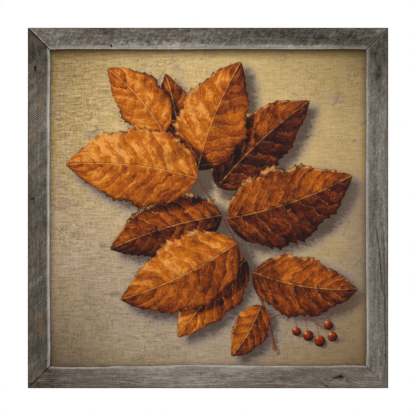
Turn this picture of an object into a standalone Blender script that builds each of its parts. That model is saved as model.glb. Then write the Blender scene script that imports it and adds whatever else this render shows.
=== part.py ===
"""Square framed canvas: a stretched cloth on four bars, clipped into a mitred frame of weathered boards.

The face looks along -Y and +Z is up. The origin is on the wall, under the middle notch of the hanger.
"""

import math

import bmesh
import bpy
from mathutils import Matrix

# Sizes in metres. Radii run from the picture's centre outwards, in the plane of the picture.
GAP = 0.0003
CANVAS_SIDE = 0.610
CLOTH_THICK = 0.0006
CLOTH_FOLD_RADIUS = 0.0015
CLOTH_TURNBACK = 0.030

LIP_OVERLAP = 0.005
LIP_THICK = 0.008
LIP_BEVEL_WIDTH = 0.0050
LIP_BEVEL_DEPTH = 0.0030
RAIL_WIDTH = 0.04125
RAIL_EDGE_RADIUS = 0.0018
RABBET_CLEARANCE = 0.0015

BAR_WIDTH = 0.038
BAR_DEPTH = 0.019
BAR_BEAD_WIDTH = 0.009
BAR_RELIEF = 0.003
BAR_EDGE_RADIUS = 0.0012

CLIP_OFFSET = 0.00635
CLIP_THICK = 0.0012
CLIP_WIDTH = 0.014
CLIP_SPREAD = 0.170
CLIP_HOLE_RADIUS = 0.0020

SCREW_HEAD_RADIUS = 0.0035
SCREW_HEAD_HEIGHT = 0.0020
SCREW_SHANK_RADIUS = 0.0015
SCREW_LENGTH = 0.0125
SCREW_SLOT_WIDTH = 0.0008
SCREW_SLOT_DEPTH = 0.0010

BRAD_HEAD_RADIUS = 0.0022
BRAD_HEAD_HEIGHT = 0.0008
BRAD_SHANK_RADIUS = 0.0008
BRAD_LENGTH = 0.012

WEDGE_LEG = 0.0065
WEDGE_THICK = 0.0005
WEDGE_HEIGHT = 0.010

HANGER_LENGTH = 0.060
HANGER_HEIGHT = 0.014
HANGER_THICK = 0.0010
HANGER_RISE = 0.0018
HANGER_FLAT_HALF = 0.0180
HANGER_RAMP = 0.0030
HANGER_HOLE_RADIUS = 0.0014
NOTCH_DEPTH = 0.0020
NOTCH_PITCH = 0.0040
NOTCHES = 9

BUMPER_RADIUS = 0.0055
BUMPER_HEIGHT = 0.0048
BUMPER_SPREAD = 0.300
BUMPER_EDGE = 0.0006

SHARP_ANGLE_DEG = 30.0

# Old nail holes in the boards' faces: side, distance along the side, radius from the centre, hole radius.
OLD_NAIL_HOLES = (
    ("left", -0.266, 0.328, 0.0013),
    ("left", -0.017, 0.333, 0.0010),
    ("top", 0.183, 0.307, 0.0012),
    ("bottom", 0.252, 0.316, 0.0015),
)
OLD_NAIL_DEPTH = 0.0045

# Worked out from the sizes above.
SIGHT_HALF = CANVAS_SIDE / 2 - LIP_OVERLAP
OUTER_HALF = SIGHT_HALF + RAIL_WIDTH
RABBET_HALF = CANVAS_SIDE / 2 + RABBET_CLEARANCE
BAR_OUTER_HALF = CANVAS_SIDE / 2 - CLOTH_THICK - GAP
CANVAS_DEPTH = BAR_DEPTH + 2 * GAP + 2 * CLOTH_THICK
RAIL_DEPTH = LIP_THICK + GAP + CANVAS_DEPTH + CLIP_OFFSET

RAIL_BACK_Y = -(BUMPER_HEIGHT + GAP)
RAIL_FRONT_Y = RAIL_BACK_Y - RAIL_DEPTH
CANVAS_FRONT_Y = RAIL_FRONT_Y + LIP_THICK + GAP
CANVAS_BACK_Y = CANVAS_FRONT_Y + CANVAS_DEPTH
BAR_FRONT_Y = CANVAS_FRONT_Y + CLOTH_THICK + GAP
BAR_BACK_Y = BAR_FRONT_Y + BAR_DEPTH

RAIL_BACK_MIDDLE = (RABBET_HALF + OUTER_HALF) / 2
CLIP_SCREW_RADIUS_AT = RAIL_BACK_MIDDLE - 0.006
CLIP_FREE_HOLE_AT = BAR_OUTER_HALF - 0.011
WEDGES_AT = (RABBET_HALF + 0.0085, OUTER_HALF - 0.0120)
BAR_WEDGE_AT = BAR_OUTER_HALF - BAR_WIDTH / 2 + WEDGE_LEG / 2
BRAD_AT = HANGER_LENGTH / 2 - 0.0045
NOTCH_TOP = RAIL_BACK_MIDDLE - HANGER_HEIGHT / 2 + NOTCH_DEPTH
PICTURE_CENTRE_Z = -NOTCH_TOP

# Each side's local frame has X outwards, Y towards the wall and Z along the side.
SIDES = {"right": 0.0, "top": -90.0, "left": 180.0, "bottom": 90.0}
CORNERS = {"bottom_left": 0, "bottom_right": 1, "top_right": 2, "top_left": 3}


def clear_scene():
    for obj in list(bpy.data.objects):
        bpy.data.objects.remove(obj, do_unlink=True)


def new_collection(name):
    collection = bpy.data.collections.new(name)
    bpy.context.scene.collection.children.link(collection)
    return collection


def finish_material(name, colour, roughness, metallic=0.0):
    """A Principled material with one colour."""
    material = bpy.data.materials.new(name)
    material.use_nodes = True
    shader = material.node_tree.nodes["Principled BSDF"]
    shader.inputs["Base Color"].default_value = (*colour, 1.0)
    shader.inputs["Roughness"].default_value = roughness
    shader.inputs["Metallic"].default_value = metallic
    return material


def side_frame(side):
    return Matrix.Rotation(math.radians(SIDES[side]), 4, "Y")


def add_part(name, mesh, material, matrix=None):
    """A named sub-part, placed from the picture's centre."""
    part = bpy.data.objects.new(name, mesh)
    if not mesh.materials:
        mesh.materials.append(material)
    PARTS.objects.link(part)
    part.parent = CENTRE
    part.matrix_local = matrix or Matrix.Identity(4)
    return part


def add_cutter(name, mesh, matrix, collection):
    cutter = bpy.data.objects.new(name, mesh)
    collection.objects.link(cutter)
    cutter.parent = CENTRE
    cutter.matrix_local = matrix
    cutter.hide_render = True
    cutter.display_type = "WIRE"
    return cutter


def cut_with(part, collection):
    """A Boolean that takes every cutter of a collection out of the part."""
    modifier = part.modifiers.new("cuts", "BOOLEAN")
    modifier.operation = "DIFFERENCE"
    modifier.operand_type = "COLLECTION"
    modifier.collection = collection
    modifier.solver = "EXACT"


def evaluated_mesh(obj, name):
    """The object's shape with its modifiers applied, as a new mesh with its seams welded."""
    bpy.context.view_layer.update()
    graph = bpy.context.evaluated_depsgraph_get()
    mesh = bpy.data.meshes.new_from_object(obj.evaluated_get(graph))
    mesh.name = name
    shape = bmesh.new()
    shape.from_mesh(mesh)
    bmesh.ops.remove_doubles(shape, verts=shape.verts, dist=1e-6)
    bmesh.ops.recalc_face_normals(shape, faces=shape.faces)
    shape.to_mesh(mesh)
    shape.free()
    return mesh


def mesh_and_remove(obj, name):
    mesh = evaluated_mesh(obj, name)
    bpy.data.objects.remove(obj, do_unlink=True)
    return mesh


def outline_mesh(name, points, half_length):
    """A flat outline in XY, extruded both ways along Z."""
    curve = bpy.data.curves.new(name, "CURVE")
    curve.dimensions = "2D"
    curve.fill_mode = "BOTH"
    curve.extrude = half_length
    spline = curve.splines.new("POLY")
    spline.points.add(len(points) - 1)
    for point, (x, y) in zip(spline.points, points):
        point.co = (x, y, 0.0, 1.0)
    spline.use_cyclic_u = True
    outline = bpy.data.objects.new(name, curve)
    bpy.context.scene.collection.objects.link(outline)
    return mesh_and_remove(outline, name)


def turned_mesh(name, profile, steps):
    """A profile turned about Z: it runs from the top of the axis, down its outer side, to the bottom."""
    mesh = bpy.data.meshes.new(name + "_profile")
    shape = bmesh.new()
    line = [shape.verts.new((x, 0.0, z)) for x, z in profile]
    for pair in zip(line, line[1:]):
        shape.edges.new(pair)
    shape.to_mesh(mesh)
    shape.free()
    lathe = bpy.data.objects.new(name, mesh)
    bpy.context.scene.collection.objects.link(lathe)
    screw = lathe.modifiers.new("turn", "SCREW")
    screw.steps = steps
    screw.render_steps = steps
    screw.use_merge_vertices = True
    screw.merge_threshold = 1e-5
    return lathe


def strip_object(name, line, width, thickness):
    """A bent strip of sheet: the line is its middle in XY, and its width runs along Z."""
    shape = bmesh.new()
    verts = [shape.verts.new((x, y, -width / 2)) for x, y in line]
    edges = [shape.edges.new(pair) for pair in zip(verts, verts[1:])]
    made = bmesh.ops.extrude_edge_only(shape, edges=edges)
    far_side = [v for v in made["geom"] if isinstance(v, bmesh.types.BMVert)]
    bmesh.ops.translate(shape, verts=far_side, vec=(0.0, 0.0, width))
    mesh = bpy.data.meshes.new(name)
    shape.to_mesh(mesh)
    shape.free()
    strip = bpy.data.objects.new(name, mesh)
    bpy.context.scene.collection.objects.link(strip)
    solidify = strip.modifiers.new("sheet", "SOLIDIFY")
    solidify.thickness = thickness
    solidify.offset = 0.0
    solidify.use_even_offset = True
    return strip


def cone_mesh(name, radius, tip_radius, depth, segments=24):
    """A cylinder or cone along Z, with its wide end at Z = 0 and its narrow end below."""
    shape = bmesh.new()
    bmesh.ops.create_cone(
        shape, cap_ends=True, segments=segments, radius1=tip_radius, radius2=radius, depth=depth
    )
    bmesh.ops.translate(shape, verts=shape.verts, vec=(0.0, 0.0, -depth / 2))
    mesh = bpy.data.meshes.new(name)
    shape.to_mesh(mesh)
    shape.free()
    return mesh


def box_mesh(name, size_x, size_y, size_z):
    shape = bmesh.new()
    bmesh.ops.create_cube(shape, size=1.0)
    bmesh.ops.scale(shape, verts=shape.verts, vec=(size_x, size_y, size_z))
    mesh = bpy.data.meshes.new(name)
    shape.to_mesh(mesh)
    shape.free()
    return mesh


def rounded_corner(x, y, radius, start_deg, steps=3):
    """Points on a quarter circle about a centre, anticlockwise from an angle."""
    angles = [math.radians(start_deg + 90.0 * i / steps) for i in range(steps + 1)]
    return [(x + radius * math.cos(a), y + radius * math.sin(a)) for a in angles]


def rail_outline():
    """The board's section: X from the picture's centre outwards, Y from the face to the wall."""
    edge = RAIL_EDGE_RADIUS
    return [
        (SIGHT_HALF, RAIL_FRONT_Y + LIP_THICK),
        (SIGHT_HALF, RAIL_FRONT_Y + LIP_BEVEL_DEPTH),
        (SIGHT_HALF + LIP_BEVEL_WIDTH, RAIL_FRONT_Y),
        *rounded_corner(OUTER_HALF - edge, RAIL_FRONT_Y + edge, edge, -90.0),
        *rounded_corner(OUTER_HALF - edge, RAIL_BACK_Y - edge, edge, 0.0),
        (RABBET_HALF, RAIL_BACK_Y),
        (RABBET_HALF, RAIL_FRONT_Y + LIP_THICK),
    ]


def bar_outline():
    """The stretcher bar's section, with a bead at its outer edge that holds the cloth off the rest of it."""
    edge = BAR_EDGE_RADIUS
    inner = BAR_OUTER_HALF - BAR_WIDTH
    return [
        (inner, BAR_FRONT_Y + BAR_RELIEF),
        (BAR_OUTER_HALF - BAR_BEAD_WIDTH, BAR_FRONT_Y + BAR_RELIEF * 0.5),
        (BAR_OUTER_HALF - BAR_BEAD_WIDTH * 0.7, BAR_FRONT_Y),
        *rounded_corner(BAR_OUTER_HALF - edge, BAR_FRONT_Y + edge, edge, -90.0),
        *rounded_corner(BAR_OUTER_HALF - edge, BAR_BACK_Y - edge, edge, 0.0),
        (inner, BAR_BACK_Y),
    ]


def mitred_mesh(name, outline):
    """A section along Z whose ends are sheared to 45 degrees, half a gap short of the diagonal."""
    short = GAP / 2 * math.sqrt(2)
    mesh = outline_mesh(name, outline, OUTER_HALF)
    for vertex in mesh.vertices:
        vertex.co.z = math.copysign(vertex.co.x - short, vertex.co.z)
    return mesh


def wedge_outline(turns, grow=0.0):
    """An L of sheet steel, its corner at the origin, turned by quarter turns and grown for its slot."""
    low, thick, long = -grow, WEDGE_THICK + grow, WEDGE_LEG + grow
    shape = [(low, low), (long, low), (long, thick), (thick, thick), (thick, long), (low, long)]
    for _ in range(turns):
        shape = [(-y, x) for x, y in shape]
    return shape


def add_wedge(name, corner, radius_at, back_y, slots):
    """A V-nail across a mitre, pressed in flush from the back, and its slot in both boards."""
    turns = CORNERS[corner]
    sign_x = -1.0 if turns in (0, 3) else 1.0
    sign_z = -1.0 if turns in (0, 1) else 1.0
    flat_to_wall = Matrix.Rotation(math.radians(90.0), 4, "X")
    middle_y = back_y - GAP - WEDGE_HEIGHT / 2
    matrix = Matrix.Translation((sign_x * radius_at, middle_y, sign_z * radius_at)) @ flat_to_wall
    wedge = outline_mesh(name, wedge_outline(turns), WEDGE_HEIGHT / 2)
    add_part(name, wedge, STEEL, matrix)
    slot = outline_mesh(name + "_slot", wedge_outline(turns, GAP), WEDGE_HEIGHT / 2 + 2 * GAP)
    add_cutter(name + "_slot", slot, matrix, slots)


def add_rails():
    """The four boards, with their old nail holes, pilot holes and V-nail slots."""
    for side in SIDES:
        mesh = mitred_mesh(f"rail_{side}", rail_outline())
        rail = add_part(f"rail_{side}", mesh, WEATHERED_WOOD, side_frame(side))
        cut_with(rail, RAIL_CUTTERS)
    to_face = Matrix.Rotation(math.radians(90.0), 4, "X")
    for number, (side, along, radius_at, hole_radius) in enumerate(OLD_NAIL_HOLES, 1):
        name = f"old_nail_hole_{number}"
        hole = cone_mesh(name, hole_radius * 1.3, hole_radius * 0.5, OLD_NAIL_DEPTH + GAP, 12)
        spot = Matrix.Translation((radius_at, RAIL_FRONT_Y - GAP, along))
        add_cutter(name, hole, side_frame(side) @ spot @ to_face, RAIL_CUTTERS)
    for corner in CORNERS:
        for number, radius_at in enumerate(WEDGES_AT, 1):
            add_wedge(f"frame_vnail_{corner}_{number}", corner, radius_at, RAIL_BACK_Y, RAIL_CUTTERS)


def add_bars():
    """The four stretcher bars and the V-nail in each of their corners."""
    for side in SIDES:
        mesh = mitred_mesh(f"stretcher_{side}", bar_outline())
        bar = add_part(f"stretcher_{side}", mesh, PINE, side_frame(side))
        cut_with(bar, BAR_CUTTERS)
    for corner in CORNERS:
        add_wedge(f"stretcher_vnail_{corner}", corner, BAR_WEDGE_AT, BAR_BACK_Y, BAR_CUTTERS)


def add_canvas():
    """The painted cloth: over the front of the bars, round their sides and turned back behind them."""
    shape = bmesh.new()
    bmesh.ops.create_cube(shape, size=1.0)
    bmesh.ops.scale(shape, verts=shape.verts, vec=(CANVAS_SIDE, CANVAS_DEPTH, CANVAS_SIDE))
    bmesh.ops.bevel(
        shape, geom=shape.edges[:], offset=CLOTH_FOLD_RADIUS, segments=3, profile=0.5,
        affect="EDGES", material=-1,
    )
    back = [max(shape.faces, key=lambda face: face.calc_center_median().y + face.calc_area())]
    bmesh.ops.inset_region(shape, faces=back, thickness=CLOTH_TURNBACK)
    bmesh.ops.delete(shape, geom=back, context="FACES")
    bmesh.ops.translate(shape, verts=shape.verts, vec=(0.0, CANVAS_FRONT_Y + CANVAS_DEPTH / 2, 0.0))
    mesh = bpy.data.meshes.new("canvas")
    shape.to_mesh(mesh)
    shape.free()
    canvas = add_part("canvas", mesh, PAINTED_CLOTH)
    solidify = canvas.modifiers.new("cloth", "SOLIDIFY")
    solidify.thickness = CLOTH_THICK
    solidify.offset = -1.0
    solidify.use_even_offset = True


def clip_mesh():
    """An offset clip: one leg flat on the board's back, a step down, and one leg on the stretched canvas."""
    rail_leg_y = RAIL_BACK_Y + GAP + CLIP_THICK / 2
    bar_leg_y = CANVAS_BACK_Y + GAP + CLIP_THICK / 2
    line = [
        (RAIL_BACK_MIDDLE + 0.0030, rail_leg_y),
        (RABBET_HALF - 0.0015, rail_leg_y),
        (RABBET_HALF - 0.0065, bar_leg_y),
        (BAR_OUTER_HALF - 0.0180, bar_leg_y),
    ]
    clip = strip_object("clip", line, CLIP_WIDTH, CLIP_THICK)
    corners = clip.modifiers.new("corners", "BEVEL")
    corners.width = 0.0003
    corners.segments = 1
    across = Matrix.Rotation(math.radians(-90.0), 4, "X")
    holes = new_collection("clip_cutters")
    for number, (x, y) in enumerate(((CLIP_SCREW_RADIUS_AT, rail_leg_y), (CLIP_FREE_HOLE_AT, bar_leg_y))):
        hole = cone_mesh(f"clip_hole_{number}", CLIP_HOLE_RADIUS, CLIP_HOLE_RADIUS, 4 * CLIP_THICK, 20)
        cutter = bpy.data.objects.new(f"clip_hole_{number}", hole)
        cutter.matrix_world = Matrix.Translation((x, y + 2 * CLIP_THICK, 0.0)) @ across
        cutter.hide_render = True
        holes.objects.link(cutter)
    cut_with(clip, holes)
    mesh = mesh_and_remove(clip, "clip")
    for cutter in list(holes.objects):
        bpy.data.objects.remove(cutter, do_unlink=True)
    return mesh


def screw_mesh():
    """A pan head wood screw along Z, its head's seat at Z = 0, with a cross slot."""
    shank_end = SCREW_HEAD_HEIGHT - SCREW_LENGTH
    profile = [
        (0.0, SCREW_HEAD_HEIGHT),
        (SCREW_HEAD_RADIUS * 0.60, SCREW_HEAD_HEIGHT * 0.95),
        (SCREW_HEAD_RADIUS * 0.90, SCREW_HEAD_HEIGHT * 0.68),
        (SCREW_HEAD_RADIUS, SCREW_HEAD_HEIGHT * 0.30),
        (SCREW_HEAD_RADIUS, 0.0),
        (SCREW_SHANK_RADIUS, 0.0),
        (SCREW_SHANK_RADIUS, shank_end + 0.0025),
        (0.0, shank_end),
    ]
    screw = turned_mesh("screw", profile, 20)
    slots = new_collection("screw_cutters")
    for number in range(2):
        size = (SCREW_HEAD_RADIUS * 1.2, SCREW_SLOT_WIDTH, SCREW_SLOT_DEPTH * 2)
        mesh = box_mesh(f"screw_slot_{number}", *size)
        cutter = bpy.data.objects.new(f"screw_slot_{number}", mesh)
        turn = Matrix.Rotation(math.radians(90.0 * number), 4, "Z")
        cutter.matrix_world = Matrix.Translation((0.0, 0.0, SCREW_HEAD_HEIGHT)) @ turn
        cutter.hide_render = True
        slots.objects.link(cutter)
    cut_with(screw, slots)
    mesh = mesh_and_remove(screw, "screw")
    for cutter in list(slots.objects):
        bpy.data.objects.remove(cutter, do_unlink=True)
    return mesh


def add_clips_and_screws():
    """Two offset clips a side, each with one screw into the board's back."""
    clip, screw = clip_mesh(), screw_mesh()
    head_seat_y = RAIL_BACK_Y + 2 * GAP + CLIP_THICK
    pilot_radius = SCREW_SHANK_RADIUS + GAP
    to_wall = Matrix.Rotation(math.radians(-90.0), 4, "X")
    for side in SIDES:
        for number, along in enumerate((-CLIP_SPREAD, CLIP_SPREAD), 1):
            name = f"{side}_{number}"
            slide = Matrix.Translation((0.0, 0.0, along))
            add_part(f"clip_{name}", clip, ZINC, side_frame(side) @ slide)
            spot = Matrix.Translation((CLIP_SCREW_RADIUS_AT, head_seat_y, along))
            matrix = side_frame(side) @ spot @ to_wall
            add_part(f"clip_screw_{name}", screw, STEEL, matrix)
            pilot = cone_mesh(f"pilot_{name}", pilot_radius, pilot_radius, SCREW_LENGTH)
            add_cutter(f"pilot_{name}", pilot, matrix, RAIL_CUTTERS)


def add_hanger():
    """A sawtooth hanger on the top board: its tabs are nailed down and its toothed middle stands off."""
    tab_y = RAIL_BACK_Y + GAP + HANGER_THICK / 2
    half = HANGER_LENGTH / 2
    knee = HANGER_FLAT_HALF + HANGER_RAMP
    line = [
        (-half, tab_y),
        (-knee, tab_y),
        (-HANGER_FLAT_HALF, tab_y + HANGER_RISE),
        (HANGER_FLAT_HALF, tab_y + HANGER_RISE),
        (knee, tab_y),
        (half, tab_y),
    ]
    hanger = strip_object("hanger", line, HANGER_HEIGHT, HANGER_THICK)
    mesh = mesh_and_remove(hanger, "sawtooth_hanger")
    up_to_rail = Matrix.Translation((0.0, 0.0, RAIL_BACK_MIDDLE))
    part = add_part("sawtooth_hanger", mesh, ZINC, up_to_rail)
    cut_with(part, HANGER_CUTTERS)

    notch_side = NOTCH_DEPTH * math.sqrt(2)
    quarter_turn = Matrix.Rotation(math.radians(45.0), 4, "Y")
    for number in range(NOTCHES):
        x = (number - (NOTCHES - 1) / 2) * NOTCH_PITCH
        spot = Matrix.Translation((x, tab_y + HANGER_RISE, -HANGER_HEIGHT / 2))
        notch = box_mesh(f"notch_{number}", notch_side, 4 * HANGER_THICK, notch_side)
        add_cutter(f"notch_{number}", notch, up_to_rail @ spot @ quarter_turn, HANGER_CUTTERS)

    head_seat_y = RAIL_BACK_Y + 2 * GAP + HANGER_THICK
    to_wall = Matrix.Rotation(math.radians(-90.0), 4, "X")
    profile = [
        (0.0, BRAD_HEAD_HEIGHT),
        (BRAD_HEAD_RADIUS * 0.8, BRAD_HEAD_HEIGHT * 0.85),
        (BRAD_HEAD_RADIUS, BRAD_HEAD_HEIGHT * 0.35),
        (BRAD_HEAD_RADIUS, 0.0),
        (BRAD_SHANK_RADIUS, 0.0),
        (BRAD_SHANK_RADIUS, BRAD_HEAD_HEIGHT - BRAD_LENGTH + 0.0015),
        (0.0, BRAD_HEAD_HEIGHT - BRAD_LENGTH),
    ]
    brad = mesh_and_remove(turned_mesh("brad", profile, 16), "brad")
    pilot_radius = BRAD_SHANK_RADIUS + GAP
    for name, x in (("right", BRAD_AT), ("left", -BRAD_AT)):
        matrix = up_to_rail @ Matrix.Translation((x, head_seat_y, 0.0)) @ to_wall
        add_part(f"hanger_brad_{name}", brad, STEEL, matrix)
        pilot = cone_mesh(f"brad_pilot_{name}", pilot_radius, pilot_radius, BRAD_LENGTH, 16)
        add_cutter(f"brad_pilot_{name}", pilot, matrix, RAIL_CUTTERS)
        hole = cone_mesh(f"tab_hole_{name}", HANGER_HOLE_RADIUS, HANGER_HOLE_RADIUS, 4 * HANGER_THICK, 16)
        above = Matrix.Translation((0.0, 0.0, 2 * HANGER_THICK))
        add_cutter(f"tab_hole_{name}", hole, matrix @ above, HANGER_CUTTERS)


def add_bumpers():
    """Four rubber feet that keep the frame's back off the wall, flat on their wall side."""
    edge = BUMPER_EDGE
    profile = [
        (0.0, BUMPER_HEIGHT),
        (BUMPER_RADIUS - edge, BUMPER_HEIGHT),
        (BUMPER_RADIUS - edge * 0.3, BUMPER_HEIGHT - edge * 0.3),
        (BUMPER_RADIUS, BUMPER_HEIGHT - edge),
        (BUMPER_RADIUS, 0.0),
        (0.0, 0.0),
    ]
    bumper = mesh_and_remove(turned_mesh("bumper", profile, 32), "bumper")
    to_wall = Matrix.Rotation(math.radians(-90.0), 4, "X")
    for corner, turns in CORNERS.items():
        x = -BUMPER_SPREAD if turns in (0, 3) else BUMPER_SPREAD
        z = -RAIL_BACK_MIDDLE if turns in (0, 1) else RAIL_BACK_MIDDLE
        spot = Matrix.Translation((x, RAIL_BACK_Y + GAP, z))
        add_part(f"bumper_{corner}", bumper, RUBBER, spot @ to_wall)


def shade_parts():
    """Round faces smooth and edges sharp, on each mesh once."""
    for mesh in {part.data for part in PARTS.objects if part.type == "MESH"}:
        mesh.shade_smooth()
        mesh.set_sharp_from_angle(angle=math.radians(SHARP_ANGLE_DEG))


clear_scene()
PARTS = new_collection("framed_canvas")
RAIL_CUTTERS = new_collection("rail_cutters")
BAR_CUTTERS = new_collection("stretcher_cutters")
HANGER_CUTTERS = new_collection("hanger_cutters")
CENTRE = bpy.data.objects.new("picture_centre", None)
PARTS.objects.link(CENTRE)
CENTRE.location = (0.0, 0.0, PICTURE_CENTRE_Z)

WEATHERED_WOOD = finish_material("weathered_wood", (0.135, 0.118, 0.100), 0.85)
PAINTED_CLOTH = finish_material("painted_cloth", (0.420, 0.330, 0.200), 0.80)
PINE = finish_material("pine", (0.560, 0.400, 0.230), 0.65)
ZINC = finish_material("zinc_plate", (0.560, 0.560, 0.550), 0.38, 1.0)
STEEL = finish_material("steel", (0.420, 0.410, 0.400), 0.35, 1.0)
RUBBER = finish_material("rubber", (0.020, 0.020, 0.022), 0.75)

add_rails()
add_bars()
add_canvas()
add_clips_and_screws()
add_hanger()
add_bumpers()
shade_parts()
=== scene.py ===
"""Looks of a square framed canvas: weathered boards, a painted cloth, and the fittings behind.

Metres, +Z up. The picture faces -Y. On a board, along runs to +X or +Z from the picture's centre, and across
runs from the frame's inner edge outwards.
"""
import math
from collections import namedtuple

import bmesh
import bpy
import numpy as np
from mathutils import Matrix, Vector


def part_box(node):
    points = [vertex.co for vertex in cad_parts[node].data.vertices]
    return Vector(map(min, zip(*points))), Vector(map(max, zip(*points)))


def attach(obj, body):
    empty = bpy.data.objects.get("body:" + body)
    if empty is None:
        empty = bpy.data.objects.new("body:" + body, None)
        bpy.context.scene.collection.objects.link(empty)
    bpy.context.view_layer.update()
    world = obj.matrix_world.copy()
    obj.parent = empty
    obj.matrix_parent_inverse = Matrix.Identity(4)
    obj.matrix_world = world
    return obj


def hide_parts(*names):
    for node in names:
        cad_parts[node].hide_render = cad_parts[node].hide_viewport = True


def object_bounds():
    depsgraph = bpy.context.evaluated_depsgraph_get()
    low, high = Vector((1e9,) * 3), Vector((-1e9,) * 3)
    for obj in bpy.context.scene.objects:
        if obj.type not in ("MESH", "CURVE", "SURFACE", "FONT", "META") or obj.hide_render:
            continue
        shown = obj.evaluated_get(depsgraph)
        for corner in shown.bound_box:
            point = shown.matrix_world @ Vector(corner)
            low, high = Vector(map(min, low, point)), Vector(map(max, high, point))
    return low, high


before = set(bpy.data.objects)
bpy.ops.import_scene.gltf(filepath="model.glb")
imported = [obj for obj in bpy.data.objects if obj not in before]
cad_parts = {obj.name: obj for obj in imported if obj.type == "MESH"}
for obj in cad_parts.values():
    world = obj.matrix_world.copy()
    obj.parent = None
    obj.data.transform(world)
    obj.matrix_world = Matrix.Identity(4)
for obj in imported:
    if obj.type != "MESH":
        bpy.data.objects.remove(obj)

# The solids' own places.
CAD_LOW, CAD_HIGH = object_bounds()
CENTRE_Z = (CAD_LOW.z + CAD_HIGH.z) / 2
FACE_Y = CAD_LOW.y
OUTER = (CAD_HIGH.x - CAD_LOW.x) / 2
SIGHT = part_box("rail_right")[0].x
BACK_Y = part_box("rail_right")[1].y
CLOTH_LOW, CLOTH_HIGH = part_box("canvas")
CLOTH_HALF = (CLOTH_HIGH.x - CLOTH_LOW.x) / 2
CLOTH_FRONT_Y = CLOTH_LOW.y
CLOTH_BACK_Y = CLOTH_HIGH.y

# The photograph's frame, for the camera.
PHOTO_WIDTH = 416
FRAME_WIDTH_IN_PHOTO = 360.57
CAMERA_DISTANCE = 6.0
SENSOR_WIDTH = 36.0

# The studio light, as the brightness that a white surface shows in it, and a matt surface's faint sheen.
STUDIO = 1.55
SHEEN = 0.008
LAMPS = {"soft_lamp": (-0.35, -1.45, 1.55), "rear_lamp": (0.35, 1.45, 1.35)}
LAMP_WATTS = 42.0
LAMP_SIZE = 1.2
FLOOR_HALF = 1.8
FLOOR_DROP = 0.28

# Boards, as their solids have them, and the size of their mesh's cells.
LIP_THICK = 0.008
LIP_BEVEL_WIDTH = 0.0050
LIP_BEVEL_DEPTH = 0.0030
BOARD_EDGE = 0.0018
RABBET = CLOTH_HALF + 0.0015
BOARD_STEPS = 640
FACE_STEP = 0.00115
PLAIN_STEP = 0.0035

# Cloth, as its solid has it, with staples along its turnback.
CLOTH_THICK = 0.0006
CLOTH_FOLD = 0.0015
TURNBACK = 0.030
CLOTH_CELLS = 190
STAPLES_A_SIDE = 13
STAPLE_PITCH = 0.046
STAPLE_INSET = 0.0145
STAPLE_CROWN = 0.0102
STAPLE_WIRE = 0.0010

SIDE_TURNS = {"right": 0.0, "top": -90.0, "left": 180.0, "bottom": 90.0}
LEVEL = (0.0, 0.0, 0.0)
UPRIGHT = (0.0, math.radians(90.0), 0.0)
MM = 0.001

SAW_PITCH = 0.0043
SAW_SLANT_DEG = 34.0

# Each stain's place along and across its board and its half sizes, in millimetres, and how much paler it is.
STAINS = {
    "left": (
        (305, 20, 60, 60, -0.50), (180, 20, 60, 60, 0.13), (-225, 20, 55, 60, -0.16),
        (-90, 22, 60, 40, 0.16), (262, 26, 10, 6, -0.45), (264, 22.2, 4.8, 1.4, 0.85),
        (-332.5, 37.2, 1.0, 4.5, -1.30), (-35, 6, 20, 8, -0.30), (20, 36, 60, 6, -0.20),
    ),
    "right": (
        (305, 20, 50, 60, -0.68), (248, 26, 18, 12, -0.35), (120, 20, 100, 60, 0.13),
        (-125, 26, 45, 16, -0.16), (-75, 20, 45, 30, 0.18), (-200, 18, 200, 60, 0.10),
        (10, 14, 16, 10, -0.22), (-230, 12, 50, 10, 0.14), (307, 15, 1.2, 1.2, -0.75),
        (304.5, 10, 1.2, 1.0, -0.55),
    ),
    "top": (
        (-290, 22, 40, 40, 0.28), (-205, 34, 50, 12, -0.16), (-95, 10, 60, 10, 0.38), (-15, 9, 26, 8, 0.30),
        (-262, 34, 36, 12, -0.14), (-42, 14, 5, 10, -0.62), (135, 32, 110, 18, -0.46), (20, 6, 100, 7, 0.34),
        (300, 14, 40, 30, -0.24), (240, 14, 70, 24, -0.32), (297.5, 9.5, 1.3, 1.3, -0.95),
        (305.5, 8, 1.2, 1.6, -0.70), (150, 6, 70, 4, 0.48), (215, 6, 30, 5, 0.34), (80, 34, 30, 10, -0.18),
        (55, 22, 24, 8, -0.24), (-130, 3, 85, 4, 0.60),
    ),
    "bottom": (
        (-315, 20, 35, 60, -0.62), (-250, 34, 60, 10, -0.30), (-60, 18, 110, 50, 0.40), (60, 8, 50, 14, 0.30),
        (170, 18, 60, 50, -0.12), (-235, 10, 45, 12, -0.22), (246, 20, 14, 4, -0.45), (300, 32, 40, 10, 0.10),
        (-140, 34, 55, 12, -0.30), (145, 14, 20, 20, 0.10), (145, 2, 50, 3, 0.40), (285, 8, 20, 6, -0.25),
    ),
}

# Each crack's two ends, along and across its board, and its width and depth, in millimetres.
CRACKS = {
    "left": (((22, 30.0), (8, 29.6), 1.0, 1.2), ((268, 27.0), (258, 26.2), 1.0, 1.0)),
    "right": (((-40, 19.2), (-102, 26.2), 1.0, 0.9), ((-102, 26.2), (-161, 30.8), 1.2, 1.2),
              ((-45, 33.0), (-300, 36.2), 0.8, 0.6)),
    "top": (((-181.5, 4.0), (-184.5, 9.5), 1.2, 1.4),),
    "bottom": (((299.5, 0.0), (315.0, 12.0), 1.4, 1.2), ((236, 22.2), (254, 19.2), 1.2, 1.0),
               ((221, 35.0), (230, 40.5), 1.2, 1.0)),
}

# Each old nail hole's place along and across its board and its radius, in millimetres.
NAIL_HOLES = {"left": ((266, 28.0, 1.6), (17, 33.0, 1.3)), "right": (), "top": ((-183, 7.0, 1.5),),
              "bottom": ((252, 18.8, 1.7),)}
NAIL_HOLE_DEPTH = 0.0040

# Each knot's place along and across the bottom board and its half sizes, in millimetres, and its rings.
KNOTS = ((57, 12.5, 22, 6.5, 2.4), (142, 22, 30, 8, 2.8), (252, 18, 20, 9.5, 3.6), (-180, 25, 45, 7, 1.8))

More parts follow.
